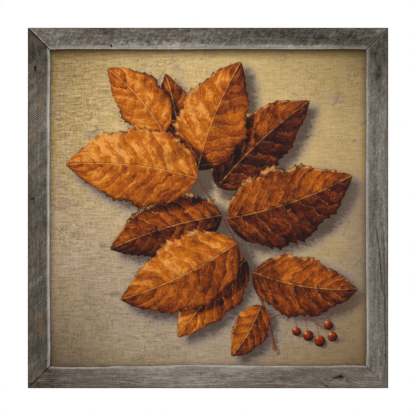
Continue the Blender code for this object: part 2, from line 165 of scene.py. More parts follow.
# Dirt fills the mitres, as dark as it looks at each board's low and high end.
MITRE_HALF = 0.0011
MITRE_DIRT = {"left": (1.3, 2.0), "right": (0.2, 0.5), "top": (2.0, 0.5), "bottom": (1.3, 0.2)}

# How far from its inner edge each board is fully worn and how far at all, how strongly, how much of that is
# broad and not a narrow line at the edge, and how much is lost towards the board's low and high end.
LipWear = namedtuple("LipWear", "full fades strength broad low_loss high_loss")
LIP_WEAR = {
    "left": LipWear(0.0036, 0.0058, 0.98, 0.70, 0.24, 0.16),
    "right": LipWear(0.0012, 0.0082, 0.76, 0.52, 0.00, 0.22),
    "top": LipWear(0.0018, 0.0088, 0.93, 0.55, 0.04, 0.24),
    "bottom": LipWear(0.0008, 0.0060, 0.60, 0.25, 0.00, 0.00),
}
LIP_LINE = (0.0036, 0.0014)
WARMTH = {"left": 0.50, "right": 0.16, "top": 0.14, "bottom": 0.30}

# Where each board's inner edge bends, and how far it strays outwards there, in millimetres.
EDGE_BENDS = {
    "left": ((-300, -0.3), (-265, -1.4), (-120, 0.2), (-50, -0.1), (55, 0.0), (90, -0.4), (130, 0.0),
             (190, 0.0), (278, -1.3), (300, -0.1)),
    "right": ((-300, -0.7), (-265, 0.8), (-190, 0.3), (-80, -0.8), (30, -0.8), (176, 0.0), (240, -0.5),
              (300, 0.4)),
    "top": ((-300, -0.1), (-265, 1.3), (-150, 0.7), (-50, 0.5), (25, 1.2), (176, 0.7), (250, 1.2), (278, 1.2),
            (300, 0.4)),
    "bottom": ((-300, 0.0), (-265, 1.7), (-190, 1.2), (-174, -0.6), (-110, -0.4), (-50, -2.7), (-10, -2.8),
               (40, -2.0), (110, -1.0), (214, -0.8), (255, -1.9), (278, -1.8), (300, -0.7)),
}

# The ground's darkest corners are where the product of a place's x and z nears this.
CORNER_PRODUCT = 0.0853

# The painted leaves, from the lowest layer of paint to the topmost. Headings and bends are in degrees.
Leaf = namedtuple("Leaf", "x z heading length width bend veins light")
LEAVES = (
    Leaf(0.018, 0.040, 43, 0.240, 0.118, -16, 8, -0.44),
    Leaf(-0.052, 0.108, 101, 0.150, 0.066, 14, 7, -0.10),
    Leaf(0.026, -0.014, 197, 0.222, 0.112, 18, 9, -0.34),
    Leaf(-0.084, 0.142, 131, 0.164, 0.092, 24, 7, 0.30),
    Leaf(0.072, -0.098, 229, 0.196, 0.096, 16, 8, 0.26),
    Leaf(-0.020, 0.072, 68, 0.222, 0.132, -18, 8, 0.06),
    Leaf(0.086, -0.122, -9, 0.202, 0.116, 26, 8, -0.22),
    Leaf(0.036, -0.020, 19, 0.252, 0.148, 20, 9, -0.30),
    Leaf(-0.020, 0.056, 174, 0.252, 0.150, 22, 9, 0.34),
    Leaf(0.054, -0.066, 206, 0.246, 0.140, -20, 8, 0.14),
    Leaf(0.100, -0.184, 240, 0.112, 0.066, -24, 6, -0.10),
)
LAYER_RISE = 0.00010
PAINT_RISE = 0.00030
PAINT_CELL = 0.0014

# The painted shadows' shift and blur: a leaf's on the ground and on the leaves below, and the thin parts'.
SHADOW_SHIFT, SHADOW_BLUR = (0.016, -0.013), 0.044
NEAR_SHIFT, NEAR_BLUR = (0.009, -0.007), 0.012
STALK_SHIFT, STALK_BLUR = (0.007, -0.004), 0.0045
BERRY_SHIFT, BERRY_BLUR = (0.0065, -0.0055), 0.008
LIGHT_FROM = math.radians(135)

STALK = ((0.128, -0.272), (0.104, -0.190), (0.076, -0.108), (0.030, -0.020), (-0.028, 0.062), (-0.086, 0.146))
TWIG = ((0.112, -0.212), (0.150, -0.200), (0.186, -0.206), (0.214, -0.226))

# Each berry, and the place where its own stalk leaves the twig.
Berry = namedtuple("Berry", "x z radius fork_x fork_z")
BERRIES = (
    Berry(0.190, -0.242, 0.0105, 0.182, -0.205),
    Berry(0.228, -0.222, 0.0094, 0.192, -0.208),
    Berry(0.212, -0.252, 0.0110, 0.205, -0.218),
    Berry(0.168, -0.234, 0.0088, 0.164, -0.200),
    Berry(0.236, -0.244, 0.0096, 0.210, -0.222),
)
BERRY_RISE = 0.0014
BERRY_SINK = 0.00025


def corner_value(i, j, seed):
    """A fixed random value from -1 to 1 for each corner of a lattice."""
    mixed = (i * 374761393 + j * 668265263 + seed * 974634777) & 0xFFFFFFFF
    mixed = ((mixed ^ (mixed >> 13)) * 1274126177) & 0xFFFFFFFF
    return ((mixed ^ (mixed >> 16)) & 0xFFFF) / 32767.5 - 1.0


def smooth_noise(u, v, seed):
    """Value noise from -1 to 1, one bump to a lattice cell."""
    i, j = np.floor(u).astype(np.int64), np.floor(v).astype(np.int64)
    p, q = u - i, v - j
    p, q = p * p * (3 - 2 * p), q * q * (3 - 2 * q)
    low = corner_value(i, j, seed) * (1 - p) + corner_value(i + 1, j, seed) * p
    high = corner_value(i, j + 1, seed) * (1 - p) + corner_value(i + 1, j + 1, seed) * p
    return low * (1 - q) + high * q


def rough_noise(u, v, seed, octaves=3):
    """Layers of noise, each twice as fine and half as strong."""
    layers = [smooth_noise(u * 2**k, v * 2**k, seed + k) / 2**k for k in range(octaves)]
    return sum(layers) / (2 - 2 ** (1 - octaves))


def hill(value, at, half):
    """A soft bump of height 1 round a place."""
    return np.exp(-(((value - at) / half) ** 2))


def ease(value, low, high):
    """0 below low, 1 above high, and smooth between."""
    t = np.clip((value - low) / (high - low), 0.0, 1.0)
    return t * t * (3 - 2 * t)


def read_places(mesh):
    places = np.empty(len(mesh.vertices) * 3)
    mesh.vertices.foreach_get("co", places)
    return places.reshape(-1, 3)


def write_places(mesh, places):
    mesh.vertices.foreach_set("co", np.ascontiguousarray(places, dtype=np.float64).ravel())
    mesh.update()


def store(mesh, **fields):
    """Numbers for each vertex, which the materials read by name."""
    for name, values in fields.items():
        field = mesh.attributes.new(name, "FLOAT", "POINT")
        field.data.foreach_set("value", np.ascontiguousarray(values, dtype=np.float32))


def mesh_from(shape, name):
    mesh = bpy.data.meshes.new(name)
    shape.to_mesh(mesh)
    shape.free()
    return mesh


def verts_in(parts):
    return [part for part in parts if isinstance(part, bmesh.types.BMVert)]


def open_edges(shape):
    return [edge for edge in shape.edges if edge.is_boundary]


def lift(shape, height):
    bmesh.ops.translate(shape, verts=shape.verts, vec=(0.0, 0.0, height))


def stand_up(shape):
    """Turns a shape that lies flat to face the viewer."""
    turn = Matrix.Rotation(math.radians(90), 3, "X")
    bmesh.ops.rotate(shape, verts=shape.verts, cent=(0, 0, 0), matrix=turn)


def about_y(degrees):
    return Matrix.Rotation(math.radians(degrees), 4, "Y")


def link_object(name, data):
    made = bpy.data.objects.new(name, data)
    bpy.context.scene.collection.objects.link(made)
    return made


def add_piece(name, mesh, materials, nodes=()):
    """A finished piece that rides on the one body, and the CAD nodes that it stands for."""
    piece = link_object(name, mesh)
    for material in materials:
        mesh.materials.append(material)
    mesh.shade_smooth()
    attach(piece, "root")
    if nodes:
        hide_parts(*nodes)
    return piece


def thicken(piece, thickness, inner_material=0):
    """Gives an open sheet its thickness, inwards from its outer face."""
    sheet = piece.modifiers.new("thickness", "SOLIDIFY")
    sheet.thickness = thickness
    sheet.offset = -1.0
    sheet.use_even_offset = True
    sheet.material_offset = inner_material
    sheet.material_offset_rim = inner_material


def shown(red, green, blue, light=STUDIO):
    """The surface colour that shows as this screen colour in the studio light."""
    linear = [((c / 255 + 0.055) / 1.055) ** 2.4 if c > 10 else c / 3294.6 for c in (red, green, blue)]
    return (*[min(max(c - SHEEN, 0.001) / light, 0.9) for c in linear], 1.0)


class Finish:
    """A procedural material while it is made, with short ways to add and join its nodes."""

    def __init__(self, name, roughness=0.8, metallic=0.0, specular=0.25):
        self.material = bpy.data.materials.new(name)
        self.material.use_nodes = True
        self.tree = self.material.node_tree
        self.shader = self.tree.nodes["Principled BSDF"]
        settings = {"Roughness": roughness, "Metallic": metallic, "Specular IOR Level": specular}
        for socket, value in settings.items():
            self.shader.inputs[socket].default_value = value
        self.coats = None

    def feed(self, socket, value):
        if isinstance(value, bpy.types.NodeSocket):
            self.tree.links.new(value, socket)
        else:
            socket.default_value = value

    def node(self, kind, inputs, **settings):
        made = self.tree.nodes.new("ShaderNode" + kind)
        for key, value in settings.items():
            setattr(made, key, value)
        for key, value in inputs.items():
            self.feed(made.inputs[key], value)
        return made

    def maths(self, operation, first, second=0.0):
        return self.node("Math", {0: first, 1: second}, operation=operation).outputs[0]

    def times(self, first, second):
        return self.maths("MULTIPLY", first, second)

    def total(self, *terms):
        """The sum of numbers, and of (socket, weight) pairs."""
        result = None
        for term in terms:
            part = self.times(*term) if isinstance(term, tuple) else term
            result = part if result is None else self.maths("ADD", result, part)
        return result

    def span(self, value, low, high, start=0.0, end=1.0):
        """A smooth change from start to end as the value goes from low to high."""
        inputs = {0: value, 1: low, 2: high, 3: start, 4: end}
        return self.node("MapRange", inputs, interpolation_type="SMOOTHSTEP").outputs[0]

    def field(self, name):
        return self.node("Attribute", {}, attribute_name=name).outputs["Fac"]

    def place(self, scale=(1.0, 1.0, 1.0), turn=LEVEL):
        """Object coordinates from the picture's centre, turned and then stretched."""
        where = self.node("TexCoord", {}).outputs["Object"]
        centred = self.node("Mapping", {"Vector": where, "Location": (0, 0, -CENTRE_Z)}).outputs[0]
        turned = self.node("Mapping", {"Vector": centred, "Rotation": turn}).outputs[0]
        return self.node("Mapping", {"Vector": turned, "Scale": scale}).outputs[0]

    def x_and_z(self):
        split = self.node("SeparateXYZ", {0: self.place()})
        return split.outputs[0], split.outputs[2]

    def noise(self, scale, turn=LEVEL, detail=4.0, rough=0.55, warp=0.0, place=None):
        """Noise with this many bumps to a metre, alike all ways or along each axis."""
        if place is None:
            place = self.place(scale if isinstance(scale, tuple) else (scale, scale, scale), turn)
            scale = 1.0
        inputs = {"Vector": place, "Scale": scale, "Detail": detail, "Roughness": rough, "Distortion": warp}
        return self.node("TexNoise", inputs).outputs["Fac"]

    def ramp(self, value, *stops):
        """A screen colour at each (position, red, green, blue) stop. A fifth number is the light on it."""
        made = self.node("ValToRGB", {"Fac": value})
        elements = made.color_ramp.elements
        while len(elements) < len(stops):
            elements.new(1.0)
        for element, (position, *colour) in zip(elements, stops):
            element.position = position
            element.color = shown(*colour)
        return made.outputs["Color"]

    def show(self, colour):
        self.coats = colour
        self.feed(self.shader.inputs["Base Color"], colour)

    def coat(self, colour, factor=1.0):
        """Lays a colour on, as the first coat or as far as the factor says over the coats before."""
        if self.coats is not None:
            inputs = {0: factor, 6: self.coats, 7: colour}
            colour = self.node("Mix", inputs, data_type="RGBA").outputs[2]
        self.show(colour)

    def tint(self, factor, *colour):
        """Lays a screen colour over the coats before."""
        self.coat(shown(*colour), factor)

    def dim(self, factor):
        """Makes the coats before darker below a factor of 1 and lighter above it."""
        inputs = {"Vector": self.coats, "Scale": factor}
        self.show(self.node("VectorMath", inputs, operation="SCALE").outputs[0])

    def gloss(self, value, low, high):
        """Roughness that follows a value, from low to high."""
        self.feed(self.shader.inputs["Roughness"], self.span(value, 0.3, 0.7, low, high))

    def relief(self, height, distance, strength=0.8):
        bump = self.node("Bump", {"Height": height, "Distance": distance, "Strength": strength})
        self.feed(self.shader.inputs["Normal"], bump.outputs[0])


def weathered_wood(name, grain, dark, middle, light, lip=(178, 173, 166), fibre=0.6, streak=0.5, mottle=0.4,
                   grit=0.9):
    """Old grey boards: the stored marks, with fibres, streaks, mottling and grit at the given strengths."""
    wood = Finish(name, roughness=0.9, specular=0.1)
    fibres = wood.noise((42, 400, 400), grain, rough=0.7)
    streaks = wood.noise((9, 170, 170), grain, warp=0.6)
    mottling = wood.noise((80, 170, 170), grain, detail=5, rough=0.7)
    grains = wood.noise((300, 380, 380), grain, detail=3, rough=0.7)
    flecks = wood.noise((110, 420, 420), grain, detail=2, rough=0.6)
    tone = wood.field("tone")
    shade = wood.total(0.5 - 0.5 * (fibre + streak + mottle + grit), (tone, 0.5), (fibres, fibre),
                       (streaks, streak), (mottling, mottle), (grains, grit))
    wood.coat(wood.ramp(shade, (0.0, *dark), (0.5, *middle), (1.0, *light)))
    wood.tint(wood.field("warm"), 122, 98, 72)
    wood.tint(wood.span(flecks, 0.24, 0.34, 0.7, 0.0), 40, 34, 29)
    worn_shade = wood.total((fibres, 0.6), (grains, 0.4), (tone, 0.12))
    lip_stops = [(at, *[share * c for c in lip]) for at, share in ((0.30, 0.78), (0.50, 1.0), (0.70, 1.16))]
    wood.coat(wood.ramp(worn_shade, *lip_stops), wood.field("wear"))
    raw_shade = wood.total((streaks, 0.6), (fibres, 0.4))
    raw_colour = wood.ramp(raw_shade, (0.30, 96, 80, 62), (0.55, 140, 120, 96), (0.75, 165, 146, 120))
    wood.coat(raw_colour, wood.field("raw"))
    wood.gloss(streaks, 0.82, 0.95)
    wood.relief(wood.total((fibres, 0.7), (grains, 0.4), (mottling, 0.4)), 0.0008, 0.9)
    return wood.material


def cream_ground(paint, x, z, clouds):
    """Pale gold above and greyer cream below, both duller away from a place above the centre."""
    far_x = paint.times(paint.total(x, -0.005), 1 / 0.36)
    far_z = paint.times(paint.total(z, -0.085), 1 / 0.40)
    squares = paint.total((far_x, far_x), (far_z, far_z))
    away = paint.total(paint.maths("SQRT", squares), (clouds, 0.5), -0.25)
    upper = paint.ramp(away, (0.10, 204, 176, 122), (0.50, 190, 163, 112), (0.80, 170, 144, 98),
                       (1.00, 150, 126, 85))
    lower = paint.ramp(away, (0.10, 186, 163, 130), (0.55, 174, 153, 126), (0.85, 164, 144, 119),
                       (1.00, 153, 133, 105))
    paint.coat(lower)
    paint.coat(upper, paint.span(paint.total(z, (x, 0.25), (clouds, 0.16)), -0.14, 0.20))


def painted_shadow(paint, trowel, across):
    """Mauve under the motif, ragged where the trowel dragged it."""
    ragged = paint.total(paint.field("shadow"), (trowel, 0.9), (across, 0.6), -0.75)
    depth = paint.total((ragged, 0.8), (trowel, 0.5))
    mauve = paint.ramp(depth, (0.35, 150, 136, 130), (0.65, 120, 106, 104), (1.00, 72, 59, 57))
    paint.coat(mauve, paint.times(paint.span(ragged, 0.06, 0.86), 0.92))


def dull_corners(paint, x, z, clouds):
    """Dusk at the right, dark corners, a brown one at the lower left and a yellow one at the lower right."""
    off_dusk = paint.maths("ABSOLUTE", paint.total(z, 0.060))
    dusk = paint.times(paint.span(x, 0.225, 0.300, 0.0, 0.50), paint.span(off_dusk, 0.050, 0.140, 1.0, 0.22))
    paint.tint(dusk, 134, 118, 107)
    product = paint.maths("ABSOLUTE", paint.times(paint.times(x, z), 1 / CORNER_PRODUCT))
    paint.dim(paint.total(1.0, (paint.maths("POWER", product, 3.3), -0.48)))
    low_left = paint.span(paint.total((x, -1.0), (z, -1.0), (clouds, 0.06)), 0.43, 0.63, 0.0, 0.45)
    paint.tint(low_left, 82, 66, 58)
    low_right = paint.span(paint.total(x, (z, -1.0), (clouds, 0.06)), 0.40, 0.53, 0.0, 0.18)
    paint.tint(low_right, 152, 112, 46)


def painted_recess_shade(paint, x, z, clouds):
    """Painted brown shade in the recess beside the frame, most of it along the top, under the top board."""
    off_side = paint.total(paint.maths("ABSOLUTE", x), (clouds, 0.004))
    top = paint.span(paint.total(z, (clouds, 0.006)), SIGHT - 0.019, SIGHT + 0.001, 0.0, 0.74)
    side = paint.span(off_side, SIGHT - 0.012, SIGHT + 0.002, 0.0, 0.42)
    low = paint.span(paint.total((z, -1.0), (clouds, 0.006)), SIGHT - 0.011, SIGHT + 0.006, 0.0, 0.30)
    recess_shade = paint.maths("MAXIMUM", paint.maths("MAXIMUM", top, low), side)
    # Painted shade: a brown laid where the frame's lip shades the ground, deepest below the top board.
    paint.tint(recess_shade, 80, 60, 34)


def ground_paint():
    """Cream ground, brushed and scraped over the weave, duller towards the frame, with painted brown shade in
    the recess beside it.
    """
    paint = Finish("ground_paint", roughness=0.8, specular=0.1)
    x, z = paint.x_and_z()
    clouds = paint.noise(9, detail=5, rough=0.6, warp=0.4)
    violet = paint.noise(16, warp=1.0)
    across = paint.noise((38, 1, 330), detail=3, rough=0.6)
    upright = paint.noise((330, 1, 38), detail=3, rough=0.6)
    trowel = paint.noise((60, 60, 110), detail=6, rough=0.7, warp=1.4)
    tooth = paint.noise(360, detail=2, rough=0.6)
    patches = paint.noise(14, detail=3)

    cream_ground(paint, x, z, clouds)
    paint.tint(paint.span(violet, 0.52, 0.75, 0.0, 0.45), 150, 132, 122)
    painted_shadow(paint, trowel, across)
    strokes = paint.total(-0.5 * (1.5 + 0.7 + 1.0 + 0.7) + 0.10, (across, 1.5), (upright, 0.7), (trowel, 1.0),
                          (tooth, 0.7))
    upper_left = paint.times(paint.span(x, -0.25, -0.09, 1.0, 0.0), paint.span(z, 0.0, 0.16, 0.22, 0.70))
    coarse = paint.total(paint.span(x, -0.10, 0.12, 0.65, 0.48), upper_left, (patches, 0.5))
    paint.dim(paint.total(1.10, (strokes, coarse)))
    dull_corners(paint, x, z, clouds)

    dots = paint.noise((260, 260, 330), detail=2, rough=0.5)
    specks = paint.times(paint.span(dots, 0.63, 0.68), paint.span(patches, 0.47, 0.58))
    paint.tint(paint.times(specks, 0.7), 96, 72, 44)
    cells = paint.node("TexVoronoi", {"Vector": paint.place((15, 15, 21)), "Scale": 1.0},
                       feature="DISTANCE_TO_EDGE").outputs["Distance"]
    crackle = paint.span(paint.total(cells, (tooth, 0.03)), 0.018, 0.040, 0.45, 0.0)
    crackle = paint.times(crackle, paint.span(violet, 0.54, 0.62))
    paint.tint(crackle, 96, 76, 50)
    # Painted shade in the recess beside the frame.
    painted_recess_shade(paint, x, z, clouds)
    paint.gloss(trowel, 0.7, 0.9)
    weave = weave_height(paint, 1150.0)
    paint.relief(paint.total((trowel, 1.0), (across, 0.5), (upright, 0.3), (weave, 0.16)), 0.0010)
    return paint.material


def weave_height(cloth, threads_per_metre):
    """Over and under of a plain weave, from the crossing of two sets of threads."""
    turns = 2 * math.pi * threads_per_metre
    warp, weft = [cloth.maths("SINE", cloth.times(run, turns)) for run in cloth.x_and_z()]
    return cloth.times(warp, weft)


def raw_cotton():
    """The cloth's bare inner face, with slubs along its threads."""
    cotton = Finish("raw_cotton", roughness=0.92, specular=0.15)
    threads = cotton.total((cotton.noise((18, 40, 700)), 0.5), (cotton.noise((700, 40, 18)), 0.5))
    cotton.coat(cotton.ramp(threads, (0.34, 150, 132, 104), (0.50, 186, 170, 140), (0.66, 208, 195, 168)))
    cotton.shader.inputs["Sheen Weight"].default_value = 0.15
    cotton.relief(cotton.total((threads, 1.0), (weave_height(cotton, 900.0), 0.25)), 0.0006)
    return cotton.material


def primed_cloth():
    """White primer on the sides and the turnback, with dirt and a little ground paint on it."""
    primer = Finish("primed_cloth", roughness=0.85, specular=0.15)
    soil = primer.noise(28, detail=5, rough=0.65)
    primer.coat(primer.ramp(soil, (0.32, 176, 160, 130), (0.52, 206, 198, 182), (0.70, 220, 215, 204)))
    smears = primer.noise(60, warp=1.2)
    primer.tint(primer.span(smears, 0.62, 0.70, 0.0, 0.5), 182, 152, 104)
    primer.relief(primer.total((soil, 0.6), (weave_height(primer, 900.0), 0.3)), 0.0005)
    return primer.material


def leaf_body(paint, phase, lane, rib, dabs, crumbs):
    """Panels between the veins, each with a fold, and brush strokes along them."""
    panel = paint.node("CombineXYZ", {0: paint.maths("FLOOR", phase), 1: paint.field("leaf")}).outputs[0]
    panel = paint.node("TexWhiteNoise", {"Vector": panel}, noise_dimensions="2D").outputs["Value"]
    brush = paint.node("CombineXYZ", {0: paint.times(phase, 7.0), 1: paint.times(rib, 45.0),
                                      2: paint.field("leaf")}).outputs[0]
    strokes = paint.noise(1.0, rough=0.7, warp=0.5, place=brush)
    fold = paint.span(lane, 0.05, 0.95, -0.5, 0.5)
    shade = paint.total(0.5 - 0.39 - 0.48 - 0.30 - 0.06, (paint.field("light"), 0.5), (fold, 0.17),
                        (panel, 0.12), (strokes, 0.78), (dabs, 0.96), (crumbs, 0.60))
    paint.coat(paint.ramp(shade, (0.00, 34, 15, 7), (0.22, 80, 34, 9), (0.40, 128, 58, 12),
                          (0.56, 166, 82, 14), (0.74, 198, 108, 24), (0.92, 230, 156, 74)))
    return shade, strokes


def leaf_paint():
    """Oil paint laid along each leaf's side veins, with pale ribs, lit rims and a scorched margin."""
    paint = Finish("leaf_paint", roughness=0.6, specular=0.1)
    off_rib, edge = paint.field("rib"), paint.field("edge")
    rib = paint.maths("ABSOLUTE", off_rib)
    dabs = paint.noise(48, detail=6, rough=0.7, warp=1.2)
    crumbs = paint.noise((330, 330, 400), detail=3, rough=0.7)
    umber = paint.noise(26, warp=0.8)
    phase = paint.total(paint.field("vein"), (paint.noise(38, detail=3, rough=0.6), 1.3), -0.65)
    lane = paint.maths("FRACT", phase)
    shade, strokes = leaf_body(paint, phase, lane, rib, dabs, crumbs)
    paint.tint(paint.span(umber, 0.54, 0.74, 0.0, 0.55), 92, 44, 14)

    beside = paint.maths("ABSOLUTE", paint.total(lane, -0.5))
    vein_line = paint.times(paint.span(beside, 0.455, 0.490), paint.span(edge, 0.55, 0.95, 0.6, 0.0))
    rib_line = paint.span(rib, 0.0004, 0.0016, 0.9, 0.0)
    ridge = paint.times(paint.maths("MAXIMUM", vein_line, rib_line), paint.span(dabs, 0.38, 0.60, 0.15, 1.0))
    ridge = paint.times(ridge, paint.span(shade, 0.05, 0.55, 0.40, 1.0))
    paint.tint(ridge, 222, 150, 74)
    one_side = paint.span(off_rib, -0.0004, 0.0004, 0.8, 0.2)
    groove = paint.times(paint.span(rib, 0.0014, 0.0030, 1.0, 0.0), one_side)
    groove = paint.maths("MAXIMUM", paint.total(groove, (rib_line, -1.4)), 0.0)
    paint.tint(groove, 60, 26, 9)
    scorch = paint.times(paint.span(edge, 0.84, 0.99), paint.span(umber, 0.40, 0.56))
    paint.tint(paint.times(scorch, 0.8), 66, 30, 12)
    rim = paint.times(paint.field("rim"), paint.span(dabs, 0.44, 0.60, 0.0, 0.75))
    paint.tint(rim, 236, 172, 98)
    paint.gloss(strokes, 0.45, 0.7)
    height = paint.total((strokes, 0.9), (dabs, 0.6), (ridge, 0.6), (crumbs, 0.35), (rim, 0.5))
    paint.relief(height, 0.0012, 0.9)
    return paint.material


def stem_paint():
    """Brown and tan strokes along the stalks."""
    paint = Finish("stem_paint", roughness=0.55, specular=0.3)
    strokes = paint.noise(120, detail=5, rough=0.6)
    shade = paint.total(0.25, (paint.field("light"), 0.5), (strokes, 0.5))
    paint.coat(paint.ramp(shade, (0.10, 50, 24, 10), (0.45, 126, 68, 26), (0.80, 206, 142, 80)))
    paint.relief(strokes, 0.0006)
    return paint.material


def berry_paint():
    """Dark red berries with a soft light on one side."""
    paint = Finish("berry_paint", roughness=0.6, specular=0.1)
    dabs = paint.noise(260, rough=0.6)
    shade = paint.total(-0.06, (paint.field("light"), 0.42), (dabs, 0.9))
    paint.coat(paint.ramp(shade, (0.05, 30, 12, 8), (0.42, 96, 30, 12), (0.66, 146, 60, 18),
                          (0.96, 222, 150, 84)))
    paint.relief(dabs, 0.0008)
    return paint.material


def planed_pine(name, grain):
    """Pale new pine with soft growth rings along the bar."""
    pine = Finish(name, roughness=0.6, specular=0.3)
    rings = pine.noise((5, 110, 110), grain, detail=3, rough=0.45, warp=0.8)
    bands = pine.maths("FRACT", pine.times(rings, 9.0))
    fibres = pine.noise((30, 1500, 1500), grain)
    shade = pine.total((pine.span(bands, 0.0, 1.0), 0.55), (fibres, 0.5))
    pine.coat(pine.ramp(shade, (0.20, 222, 190, 142), (0.60, 208, 170, 118), (0.95, 176, 130, 80)))
    pine.gloss(fibres, 0.5, 0.7)
    pine.relief(pine.total((fibres, 0.6), (shade, 0.3)), 0.0003)
    return pine.material


def bright_metal(name, tone, roughness, cloud_scale):
    """Plated or bare steel with fine scratches and cloudy plating, which mirrors a light of 1."""
    metal = Finish(name, roughness=roughness, metallic=1.0, specular=0.5)
    clouds = metal.noise(cloud_scale, detail=5, rough=0.7)
    scratches = metal.noise((60, 900, 2400), detail=3)
    shade = metal.total((clouds, 0.7), (scratches, 0.3))
    stops = [(at, *[min(share * c, 250) for c in tone], 1.0)
             for at, share in ((0.30, 0.72), (0.55, 1.0), (0.75, 1.1))]
    metal.coat(metal.ramp(shade, *stops))
    metal.gloss(shade, roughness * 0.75, roughness * 1.35)
    metal.relief(metal.total((clouds, 0.3), (scratches, 0.4)), 0.0001, 0.7)
    return metal.material


def foot_rubber():
    """Matt black rubber with a dusty bloom."""
    rubber = Finish("foot_rubber", roughness=0.8, specular=0.3)
    bloom = rubber.noise(300)
    rubber.coat(rubber.ramp(bloom, (0.35, 26, 26, 27), (0.65, 54, 53, 52)))
    rubber.relief(bloom, 0.0002, 0.6)
    return rubber.material


def board_outline(shape):
    """The board's section as a face in XY: a bevelled lip, two eased outer edges and the rabbet behind."""
    corners = (
        (SIGHT, FACE_Y + LIP_THICK), (SIGHT, FACE_Y + LIP_BEVEL_DEPTH), (SIGHT + LIP_BEVEL_WIDTH, FACE_Y),
        (OUTER, FACE_Y), (OUTER, BACK_Y), (RABBET, BACK_Y), (RABBET, FACE_Y + LIP_THICK),
    )
    verts = [shape.verts.new((x, y, 0.0)) for x, y in corners]
    shape.faces.new(verts)
    bmesh.ops.bevel(shape, geom=[verts[3], verts[4]], offset=BOARD_EDGE, segments=3, profile=0.5,
                    affect="VERTICES", material=-1)


def swept_board(side):
    """A board as a closed mesh whose Z runs from -1 to 1 along it, finely divided where it shows."""
    shape = bmesh.new()
    board_outline(shape)
    for edge in shape.edges[:]:
        middle = (edge.verts[0].co + edge.verts[1].co) / 2
        step = FACE_STEP if middle.y < FACE_Y + LIP_BEVEL_DEPTH else PLAIN_STEP
        cuts = round(edge.calc_length() / step) - 1
        if cuts > 0:
            bmesh.ops.subdivide_edges(shape, edges=[edge], cuts=cuts)
    bmesh.ops.delete(shape, geom=shape.faces[:], context="FACES_ONLY")
    lift(shape, -1.0)
    made = bmesh.ops.extrude_edge_only(shape, edges=shape.edges[:])["geom"]
    bmesh.ops.translate(shape, verts=verts_in(made), vec=(0.0, 0.0, 2.0))
    long_edges = [edge for edge in shape.edges if not edge.is_boundary]
    bmesh.ops.holes_fill(shape, edges=open_edges(shape), sides=0)
    bmesh.ops.subdivide_edges(shape, edges=long_edges, cuts=BOARD_STEPS - 1, use_grid_fill=True)
    bmesh.ops.recalc_face_normals(shape, faces=shape.faces)
    return mesh_from(shape, f"board_{side}")


def sawn(along, across):
    """Marks of a band saw, rising to the right, deepest in two stretches near the top."""
    slant = math.tan(math.radians(SAW_SLANT_DEG))
    wobble = 0.42 * smooth_noise(along / 0.022, across / 0.012, 3)
    marks = np.cos(2 * math.pi * ((along + across * slant) / SAW_PITCH + wobble))
    near_top = ease(along, 0.145, 0.175) * ease(along, 0.318, 0.292)
    below = 0.75 * hill(along, 0.066, 0.026)
    patchy = 0.55 + 0.50 * rough_noise(along / 0.016, across / 0.010, 5)
    strength = np.clip((near_top + below + 0.20) * patchy, 0.0, 1.0)
    strength = strength * ease(across, 0.002, 0.008) * (0.45 + 0.55 * ease(across, 0.008, 0.020))
    broad = rough_noise((along + 0.9 * across) / 0.013, (across - along) / 0.060, 7)
    return 1.70 * marks * strength + 0.40 * broad, 0.00022 * (marks - 1.0) * strength


def fuzzy(along, across):
    """Short raised fibres that lean to the right, with crumbs of paler wood near the lip."""
    lean = rough_noise((along - 0.6 * across) / 0.0035, (across + 0.5 * along) / 0.009, 13)
    crumbs = smooth_noise(along / 0.007, across / 0.003, 17)
    near_lip = hill(across, 0.010, 0.008) * hill(along, -0.100, 0.070)
    smoke = rough_noise(along / 0.030, across / 0.014, 19)
    tone = 0.42 * lean + 0.26 * smoke + 0.8 * near_lip * np.clip(crumbs, -0.6, 1.0)
    return tone, 0.00012 * lean + 0.00015 * near_lip * crumbs


def streaky(along, across):
    """Straight grain in long dark and light streaks, opened by the weather."""
    bend = across + 0.0030 * smooth_noise(along / 0.110, across / 0.030, 23)
    streaks = rough_noise(along / 0.070, bend / 0.0030, 29)
    smoke = rough_noise(along / 0.022, across / 0.011, 31)
    upper = ease(along, 0.120, 0.240)
    return 0.26 * streaks + (0.12 + 0.24 * upper) * smoke, 0.00018 * streaks


def cathedral(along, across):
    """Wavy flat-sawn grain that bends round the knots, with dark hearts in all but the last knot."""
    lines = across / 0.0040 + 1.5 * rough_noise(along / 0.100, across / 0.040, 37)
    hearts = 0.0
    for number, knot in enumerate(KNOTS, 1):
        at, over, half_length, half_width, rings = knot
        off_along = (along - at * MM) / (half_length * MM)
        off_across = (across - over * MM) / (half_width * MM)
        lines = lines + rings * np.exp(-(off_along**2 + off_across**2))
        if number < len(KNOTS):
            hearts = hearts + hill(off_along, 0.0, 0.30) * hill(off_across, 0.0, 0.30)
    waves = np.cos(2 * math.pi * lines)
    broken = 0.6 + 0.4 * smooth_noise(along / 0.030, across / 0.006, 41)
    tone = 0.25 * waves * broken + 0.22 * rough_noise(along / 0.030, across / 0.008, 43) - 0.45 * hearts
    return tone, 0.00016 * waves * broken


GRAINS = {"left": sawn, "top": fuzzy, "right": streaky, "bottom": cathedral}


def crack_groove(start, end, width, along, across):
    """How far each place is into a crack, from 0 to 1, tapered to the crack's ends."""
    run = end - start
    t = ((along - start[0]) * run[0] + (across - start[1]) * run[1]) / run.dot(run)
    wander = 0.0005 * smooth_noise(along / 0.010, across * 0.0, 47)
    off = ((along - start[0]) * run[1] - (across - start[1]) * run[0]) / np.linalg.norm(run) + wander
    ends = np.clip(np.minimum(t, 1 - t) * 6 + 0.4, 0.0, 1.0) * (np.abs(t - 0.5) < 0.56)
    return np.exp(-((off / width) ** 2)) * ends


def stained(side, along, across):
    """How much paler the board's stains make each place."""
    tone = 0.0
    ragged = 1.0 + 0.35 * rough_noise(along / 0.014, across / 0.008, 59)
    for at, over, half_length, half_width, strength in STAINS[side]:
        blot = hill(along, at * MM, half_length * MM) * hill(across, over * MM, half_width * MM)
        tone = tone + strength * blot * ragged
    return tone


